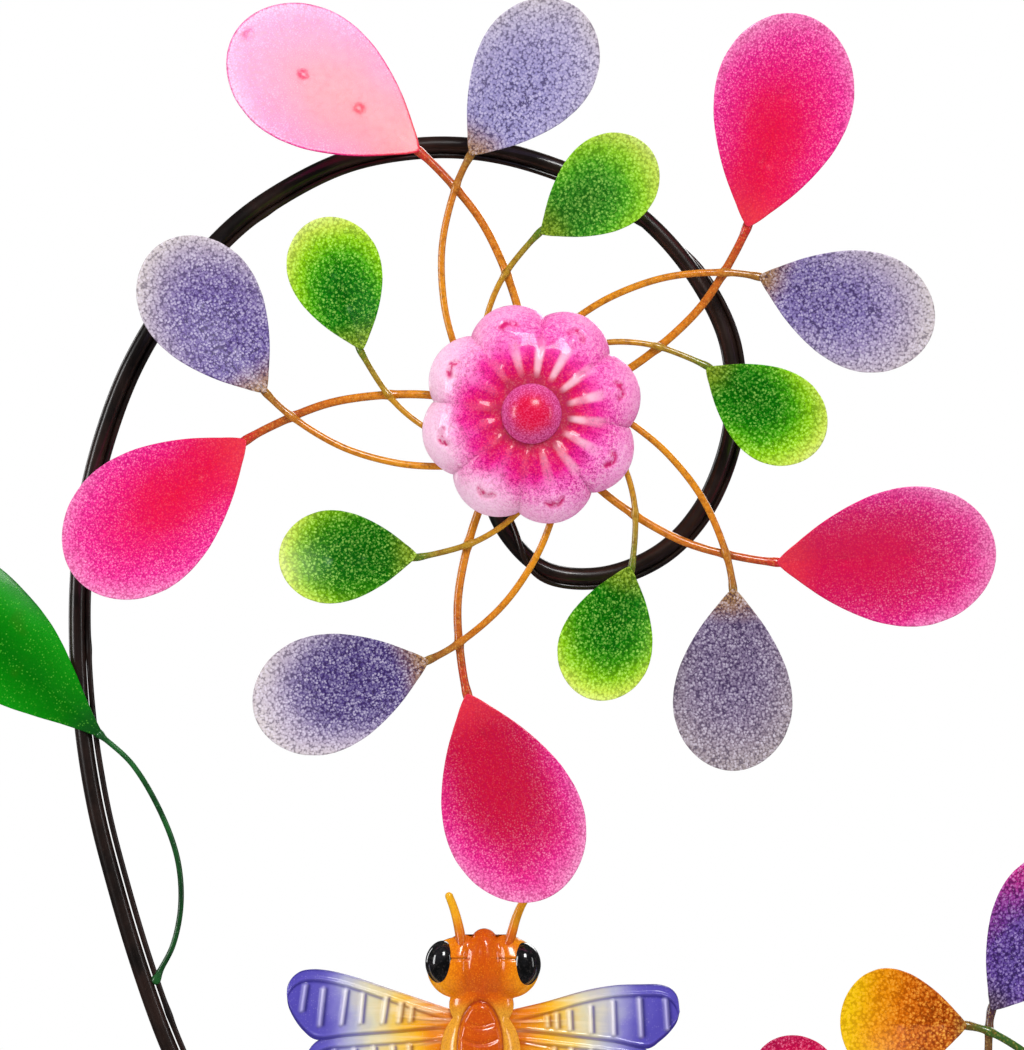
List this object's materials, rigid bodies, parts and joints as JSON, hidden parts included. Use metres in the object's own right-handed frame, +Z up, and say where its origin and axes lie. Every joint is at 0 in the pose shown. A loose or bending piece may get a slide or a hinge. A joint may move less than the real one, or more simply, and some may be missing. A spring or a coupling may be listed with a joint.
{
  "type": "garden wind spinner",
  "caption": "Garden stake wind spinner: a scrolled rod carries a freely turning flower wheel of painted teardrop petals, a branch carries a second one, with a leaf and a dragonfly.",
  "frame": {"origin": "on the pole's axis, at the underside of the ground fork's crossbar, which rests on the soil", "axes": "+Z up along the pole, both flower wheels face -Y and turn about axes along Y, +X to the viewer's right"},
  "size_m": [0.8832, 0.0884, 2.0369],
  "materials": {
    "magenta_petal": "magenta enamel over speckled primer, red at the wire end, pink at the rim",
    "lavender_petal": "violet enamel, crackled, grey-beige at the rim",
    "green_petal": "green enamel, dark at the wire end, lime at the rim, speckled",
    "magenta_arm": "copper-orange enamel, red near the petal",
    "lavender_arm": "golden enamel, brown near the petal",
    "green_arm": "golden enamel, green near the petal",
    "hub_paint": "copper-orange enamel",
    "bearing_steel": "plain ground steel",
    "cap_pink": "glossy pink enamel, magenta ring about the middle, pale lobes",
    "cap_button": "glossy red-pink enamel",
    "rod_black": "glossy dark brown-black enamel",
    "bolt_zinc": "zinc-plated",
    "leaf_green": "glossy dark green enamel",
    "stem_green": "dark green enamel",
    "second_petals": "violet, yellow and crimson enamels, speckled",
    "cap_violet": "glossy violet enamel",
    "dragonfly_orange": "glossy orange enamel with rust-brown shading",
    "dragonfly_wing": "violet at the tips, cream to yellow at the body",
    "dragonfly_eye": "glossy black enamel with a white highlight"
  },
  "bodies": {
    "stake": {"scroll_rod": "rod_black", "vine_rod": "rod_black", "leaf": "leaf_green", "leaf_stem": "stem_green", "main_axle_boss": "rod_black", "main_axle_bolt": "bolt_zinc", "main_axle_spacer": "bolt_zinc", "main_axle_nut": "bolt_zinc", "branch_rod": "rod_black", "second_axle": "rod_black", "upper_pole": "rod_black", "pole_sleeve": "rod_black", "lower_pole": "rod_black", "ground_fork": "rod_black", "dragonfly_body": "dragonfly_orange", "dragonfly_wings": "dragonfly_wing", "dragonfly_left_eye": "dragonfly_eye", "dragonfly_right_eye": "dragonfly_eye"},
    "main_spinner": {"magenta_petal_1": "magenta_petal", "magenta_petal_2": "magenta_petal", "magenta_petal_3": "magenta_petal", "magenta_petal_4": "magenta_petal", "magenta_petal_5": "magenta_petal", "magenta_arm_1": "magenta_arm", "magenta_arm_2": "magenta_arm", "magenta_arm_3": "magenta_arm", "magenta_arm_4": "magenta_arm", "magenta_arm_5": "magenta_arm", "lavender_petal_1": "lavender_petal", "lavender_petal_2": "lavender_petal", "lavender_petal_3": "lavender_petal", "lavender_petal_4": "lavender_petal", "lavender_petal_5": "lavender_petal", "lavender_arm_1": "lavender_arm", "lavender_arm_2": "lavender_arm", "lavender_arm_3": "lavender_arm", "lavender_arm_4": "lavender_arm", "lavender_arm_5": "lavender_arm", "green_petal_1": "green_petal", "green_petal_2": "green_petal", "green_petal_3": "green_petal", "green_petal_4": "green_petal", "green_petal_5": "green_petal", "green_arm_1": "green_arm", "green_arm_2": "green_arm", "green_arm_3": "green_arm", "green_arm_4": "green_arm", "green_arm_5": "green_arm", "main_hub": "hub_paint", "main_bearing_front": "bearing_steel", "main_bearing_rear": "bearing_steel", "main_flower_cap": "cap_pink", "main_cap_button": "cap_button"},
    "second_spinner": {"second_hub": "hub_paint", "second_flower_cap": "cap_violet", "second_petal_cluster_1": "second_petals", "second_petal_cluster_2": "second_petals", "second_petal_cluster_3": "second_petals", "second_petal_cluster_4": "second_petals", "second_petal_cluster_5": "second_petals"}
  },
  "joints": [
    {"name": "main_spinner_turn", "type": "hinge", "parent": "stake", "child": "main_spinner", "pos_m": [0.029, -0.034, 1.6], "axis": [0, 1, 0], "continuous": true},
    {"name": "second_spinner_turn", "type": "hinge", "parent": "stake", "child": "second_spinner", "pos_m": [0.3271, -0.034, 1.1237], "axis": [0, 1, 0], "continuous": true}
  ]
}
